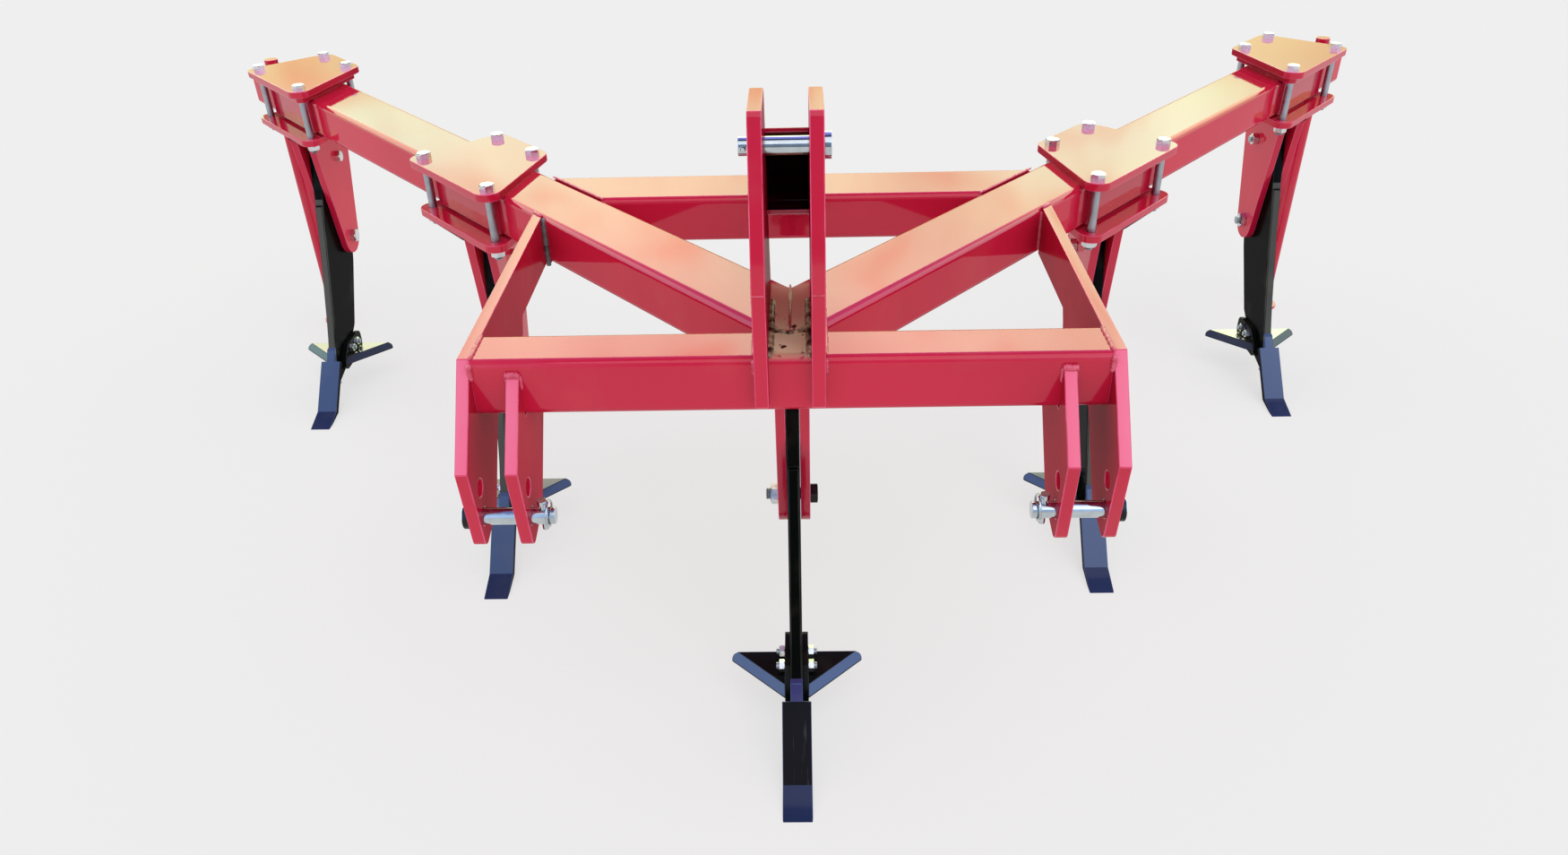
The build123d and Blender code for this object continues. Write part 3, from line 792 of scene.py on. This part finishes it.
def arm_face(middle, normal):
    """1 on an arm's upright front face, which takes a lighter copy of the red as painted light."""
    return 1 if abs(normal.z) < 0.1 and normal.y < -0.5 else 0


def pin_face(middle, normal):
    """1 on the outer end of a lower pin."""
    return 1 if abs(middle.x) > PIN_END else 0


# Radii of the rounded edges, in millimetres
SHANK_EDGE, POINT_EDGE, WING_EDGE, STAY_EDGE, FRAME_EDGE = 1.2, 1.0, 0.8, 1.3, 1.4
LOWER_PIN_EDGE, PIN_EDGE = 1.0, 0.8


def show(node):
    """Show a CAD node: bolts drawn anew, most others with rounded edges, the shear cores as they are."""
    name, _, leg = node.partition("_")
    centre, outer = leg == "centre", "outer" in leg
    if node.startswith("clamp_bolts"):
        clamp_bolts(node)
    elif node.startswith("leg_bolts"):
        leg_bolts(node[len("leg_bolts_"):])
    elif name == "shank":
        dress(node, SHANK_EDGE, [black, black if centre else shin_black], shank_face(leg))
        small_bolts(leg)
    elif name == "point":
        upper, above = (black_leaf, violet) if centre else (slate, slate)
        dress(node, POINT_EDGE, [navy, upper, bare_steel, black, above], point_face(leg))
    elif name == "wings":
        top = wing_dark if centre else wing_top_painted_sheen if outer else wing_black
        dress(node, WING_EDGE, [wing_dark, wing_grey if outer else wing_edge, top], wing_face(leg))
    elif node == "mast_stay":
        dress(node, STAY_EDGE, [red, inside_red], stay_face)
    elif node.startswith("lower_pin"):
        dress(node, LOWER_PIN_EDGE, [chrome, dark_steel], pin_face)
    elif slot_of[node] == "hitch_pins":
        dress(node, PIN_EDGE, [chrome])
    elif node.startswith("arm"):
        dress(node, FRAME_EDGE, [apex_red, lit_arm_red], arm_face)
    elif node == "front_bar":
        dress(node, FRAME_EDGE, [apex_red, lit_arm_red])
    elif slot_of[node] == "red_paint":
        # Broad sides: a lighter copy of the red as painted light on the leg holders, a darker copy as
        # painted shade elsewhere
        side = lit_cheek_red if node.startswith("leg_holder") else shaded_side_red
        dress(node, FRAME_EDGE, [red, side, lit_rim_red], red_face(node))
    else:
        frame["nodes"][node].data.materials.clear()
        frame["nodes"][node].data.materials.append(zinc)


for node in sorted(frame["nodes"]):
    show(node)
weld_frame()


# Ground, camera and light

FLOOR_GREY = 0.862
FLOOR_SIZE = 60
STEADY_SHARE = 0.7


def floor_material():
    """A pale floor. For what looks at it, part of its brightness is steady, so shadows stay faint."""
    grey = (FLOOR_GREY, FLOOR_GREY, FLOOR_GREY)
    g = Graph("pale_floor", grey, 0.9)
    g.set("Specular IOR Level", 0.0)
    glow = g.add("ShaderNodeEmission", {"Color": (*grey, 1), "Strength": 1.0}).outputs[0]
    rays = g.add("ShaderNodeLightPath").outputs
    seen = g.calculate("MAXIMUM", rays["Is Camera Ray"], rays["Is Glossy Ray"])
    seen = g.calculate("MAXIMUM", seen, rays["Is Transmission Ray"])
    part = g.times(seen, STEADY_SHARE)
    surface = g.add("ShaderNodeMixShader", {0: part, 1: g.shader.outputs[0], 2: glow}).outputs[0]
    g.tree.links.new(surface, g.tree.nodes["Material Output"].inputs["Surface"])
    return g.material


def add_floor():
    half = FLOOR_SIZE / 2
    corners = [(-half, -half, 0), (half, -half, 0), (half, half, 0), (-half, half, 0)]
    mesh = bpy.data.meshes.new("floor")
    mesh.from_pydata(corners, [], [(0, 1, 2, 3)])
    mesh.materials.append(floor_material())
    floor = bpy.data.objects.new("floor", mesh)
    bpy.context.scene.collection.objects.link(floor)


# The camera that was fitted to the photo: angles, lengths in pixels of the photo, and its place
YAW, PITCH, ROLL = math.radians(-1.40), math.radians(32.36), math.radians(-1.52)
IMAGE_WIDTH = 1750
FOCAL_PIXELS = 1249.3
SHIFT_PIXELS = 3.5
SENSOR = 36
CAMERA_PLACE = (0.0179, -2.0682, 1.4688)


def add_camera():
    forward = Vector((math.sin(YAW) * math.cos(PITCH), math.cos(YAW) * math.cos(PITCH), -math.sin(PITCH)))
    level = Vector((math.cos(YAW), -math.sin(YAW), 0))
    upright = level.cross(forward)
    right = level * math.cos(ROLL) + upright * math.sin(ROLL)
    up = upright * math.cos(ROLL) - level * math.sin(ROLL)
    data = bpy.data.cameras.new("camera")
    data.sensor_width = SENSOR
    data.lens = FOCAL_PIXELS * SENSOR / IMAGE_WIDTH
    data.shift_x = SHIFT_PIXELS / IMAGE_WIDTH
    camera = bpy.data.objects.new("camera", data)
    bpy.context.scene.collection.objects.link(camera)
    turn = Matrix((right, up, -forward)).transposed()
    camera.matrix_world = Matrix.Translation(CAMERA_PLACE) @ turn.to_4x4()
    bpy.context.scene.camera = camera


SUN_STRENGTH = 0.75
SUN_ANGLE = math.radians(50)
SUN_DIRECTION = Vector((-0.20, 0.50, -0.84))


def add_sun():
    data = bpy.data.lights.new("sun", "SUN")
    data.energy = SUN_STRENGTH
    data.angle = SUN_ANGLE
    sun = bpy.data.objects.new("sun", data)
    bpy.context.scene.collection.objects.link(sun)
    sun.rotation_mode = "QUATERNION"
    sun.rotation_quaternion = SUN_DIRECTION.to_track_quat("-Z", "Y")


AMBIENT = (0.81, 0.81, 0.81)
BACKGROUND = (0.855, 0.855, 0.855)
# The sky that reflections see, by the Z of their direction: 0 is level and 1 straight up
BEHIND = [(0.0, (0.25, 0.30, 0.15)), (0.21, (0.33, 0.42, 0.19)), (0.28, (0.38, 0.48, 0.26)),
          (0.34, (0.54, 0.72, 0.44)), (0.47, (0.88, 0.88, 0.64)), (0.54, (0.80, 0.80, 0.66)),
          (0.62, (0.20, 0.18, 0.34)), (0.70, (0.10, 0.10, 0.30)), (1.0, (0.10, 0.11, 0.30))]
ASIDE = [(0.0, (0.34, 0.35, 0.37)), (0.2, (0.34, 0.42, 0.58)), (0.6, (0.34, 0.46, 0.70)),
         (0.85, (0.14, 0.17, 0.30)), (1.0, (0.10, 0.11, 0.30))]
CREAM, WARM, SALMON = (1.25, 2.1, 2.7), (1.05, 1.22, 1.12), (0.98, 0.60, 0.52)


def sky_behind(g, way):
    """The sky to the rear: olive low down, pale yellow higher and violet overhead.

    Over it lie a cream zone on either side, warmth to the right, salmon patches and streaks."""
    color = g.ramp(way["Z"], BEHIND)
    left = g.span(way["X"], -0.42, -0.14, 1.0, 0.0)
    rise, fall = g.span(way["X"], 0.10, 0.20, 0.0, 0.5), g.span(way["X"], 0.32, 0.42, 0.5, 0.0)
    zone = g.calculate("MAXIMUM", left, g.calculate("MINIMUM", rise, fall))
    low = g.times(g.span(way["Z"], 0.29, 0.36, 1.0, 0.0), g.span(way["Z"], 0.236, 0.262))
    color = g.mix(g.times(zone, low), color, g.tint(color, CREAM))
    warmth = g.times(g.span(way["X"], 0.05, 0.25), g.span(way["Z"], 0.30, 0.36))
    color = g.mix(warmth, color, g.tint(color, WARM))
    patches = g.noise(1.0, 3.0, stretch=(9, 3, 22), distortion=0.6)
    color = g.mix(g.span(patches, 0.52, 0.66, 0.0, 0.75), color, g.tint(color, SALMON))
    streaks = g.noise(1.0, 4.0, stretch=(7, 7, 3))
    color = g.scale(color, g.span(streaks, 0.35, 0.65, 4.1, 5.6))
    return g.scale(color, g.span(way["X"], 0.15, 0.5, 1.0, 0.92))


def sky_aside(g, way):
    """The sky elsewhere: grey low down, blue higher and dark overhead, and brightest at the sides."""
    across = g.calculate("ABSOLUTE", way["X"])
    return g.scale(g.ramp(way["Z"], ASIDE), g.span(across, 0.12, 0.5, 0.7, 5.0))


def build_world():
    """Soft white light and a pale background, while reflections see a coloured sky."""
    world = bpy.data.worlds.new("studio")
    bpy.context.scene.world = world
    world.use_nodes = True
    g = Nodes(world.node_tree, "Generated")
    way = g.parts()
    sky = g.mix(g.span(way["Y"], 0.15, 0.45), sky_aside(g, way), sky_behind(g, way))
    rays = g.add("ShaderNodeLightPath").outputs
    lit = g.mix(rays["Is Glossy Ray"], AMBIENT, sky)
    lit = g.mix(rays["Is Transmission Ray"], lit, BACKGROUND)
    background = g.tree.nodes["Background"]
    g.tree.links.new(g.mix(rays["Is Camera Ray"], lit, BACKGROUND), background.inputs["Color"])
    background.inputs["Strength"].default_value = 1.0


add_floor()
add_camera()
add_sun()
build_world()
bpy.context.scene.view_settings.view_transform = "Standard"
